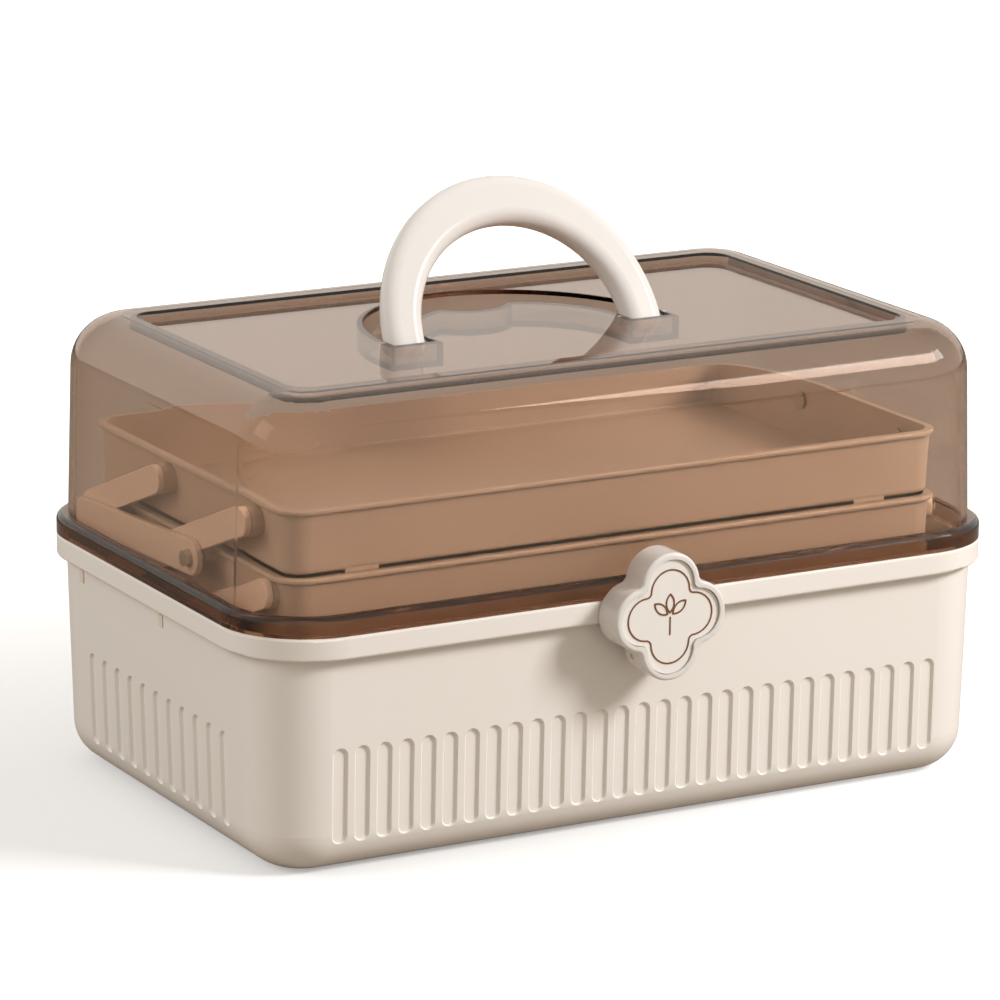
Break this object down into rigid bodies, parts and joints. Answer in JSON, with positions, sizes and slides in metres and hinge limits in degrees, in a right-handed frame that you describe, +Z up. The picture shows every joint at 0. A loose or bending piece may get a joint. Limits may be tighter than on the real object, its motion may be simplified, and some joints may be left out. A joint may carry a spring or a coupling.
{
  "type": "medicine box with handle",
  "caption": "Family medicine box: ribbed cream tub, clear brown hinged lid with an arched carrying handle in a well, lobed latch, and stacked trays that rise on parallel arms.",
  "frame": {"origin": "on the floor under the middle of the tub's rim", "axes": "+X to the right along the long side, +Y to the rear where the lid's hinge is, +Z up; the latch is at -Y"},
  "size_m": [0.33, 0.235, 0.2338],
  "materials": {
    "cream_shell": "satin moulded plastic",
    "cream_gloss": "glossy moulded plastic",
    "clear_brown_lid": null,
    "tan_tray": "satin moulded plastic",
    "tan_linkage": "satin moulded plastic",
    "pivot_steel": "plain steel",
    "brown_print": "printed ink line"
  },
  "bodies": {
    "base": {"base_tub": "cream_shell", "base_arm_plate_left": "tan_linkage", "base_arm_plate_right": "tan_linkage", "base_arm_pins_left": "pivot_steel", "base_arm_pins_right": "pivot_steel", "hinge_pin_left": "pivot_steel", "hinge_pin_right": "pivot_steel", "latch_pin": "pivot_steel"},
    "lid": {"lid_shell": "clear_brown_lid", "handle_pin_left": "pivot_steel", "handle_pin_right": "pivot_steel"},
    "handle": {"handle": "cream_gloss"},
    "latch": {"latch_body": "cream_gloss", "latch_plate": "cream_gloss", "latch_line": "brown_print", "latch_motif": "brown_print"},
    "lower_front_arms": {"lower_front_arm_left": "tan_linkage", "lower_front_arm_right": "tan_linkage"},
    "lower_rear_arms": {"lower_rear_arm_left": "tan_linkage", "lower_rear_arm_right": "tan_linkage"},
    "lower_tray": {"lower_tray": "tan_tray", "lower_tray_pins_left": "pivot_steel", "lower_tray_pins_right": "pivot_steel", "side_rail_left": "tan_linkage", "side_rail_right": "tan_linkage", "rail_screw_left": "pivot_steel", "rail_screw_right": "pivot_steel"},
    "upper_front_arms": {"upper_front_arm_left": "tan_linkage", "upper_front_arm_right": "tan_linkage"},
    "upper_rear_arms": {"upper_rear_arm_left": "tan_linkage", "upper_rear_arm_right": "tan_linkage"},
    "upper_tray": {"upper_tray": "tan_tray", "upper_tray_pins_left": "pivot_steel", "upper_tray_pins_right": "pivot_steel"}
  },
  "joints": [
    {"name": "lid_hinge", "type": "hinge", "parent": "base", "child": "lid", "pos_m": [0, 0.111, 0.0965], "axis": [-1, 0, 0], "range_deg": [0, 110]},
    {"name": "handle_hinge", "type": "hinge", "parent": "lid", "child": "handle", "pos_m": [0, -0.0041, 0.1764], "axis": [1, 0, 0], "range_deg": [-60, 30]},
    {"name": "latch_hinge", "type": "hinge", "parent": "base", "child": "latch", "pos_m": [0, -0.1112, 0.073], "axis": [1, 0, 0], "range_deg": [0, 60]},
    {"name": "lower_front_arm_hinge", "type": "hinge", "parent": "base", "child": "lower_front_arms", "pos_m": [0, -0.0069, 0.0803], "axis": [-1, 0, 0], "range_deg": [0, 55]},
    {"name": "lower_rear_arm_hinge", "type": "hinge", "parent": "base", "child": "lower_rear_arms", "pos_m": [0, 0.0661, 0.0803], "axis": [-1, 0, 0], "range_deg": [0, 55]},
    {"name": "lower_tray_hinge", "type": "hinge", "parent": "lower_front_arms", "child": "lower_tray", "pos_m": [0, -0.06959, 0.10479], "axis": [-1, 0, 0], "range_deg": [-55, 0]},
    {"name": "upper_front_arm_hinge", "type": "hinge", "parent": "lower_tray", "child": "upper_front_arms", "pos_m": [0, 0.00211, 0.10671], "axis": [-1, 0, 0], "range_deg": [0, 55]},
    {"name": "upper_rear_arm_hinge", "type": "hinge", "parent": "lower_tray", "child": "upper_rear_arms", "pos_m": [0, 0.07511, 0.10671], "axis": [-1, 0, 0], "range_deg": [0, 55]},
    {"name": "upper_tray_hinge", "type": "hinge", "parent": "upper_front_arms", "child": "upper_tray", "pos_m": [0, -0.0575, 0.13], "axis": [-1, 0, 0], "range_deg": [-55, 0]}
  ],
  "couplings": [
    {"joint": "lower_front_arm_hinge", "follows": "lid_hinge", "ratio": 0.5},
    {"joint": "lower_rear_arm_hinge", "follows": "lid_hinge", "ratio": 0.5},
    {"joint": "lower_tray_hinge", "follows": "lid_hinge", "ratio": -0.5},
    {"joint": "upper_front_arm_hinge", "follows": "lid_hinge", "ratio": 0.5},
    {"joint": "upper_rear_arm_hinge", "follows": "lid_hinge", "ratio": 0.5},
    {"joint": "upper_tray_hinge", "follows": "lid_hinge", "ratio": -0.5}
  ]
}
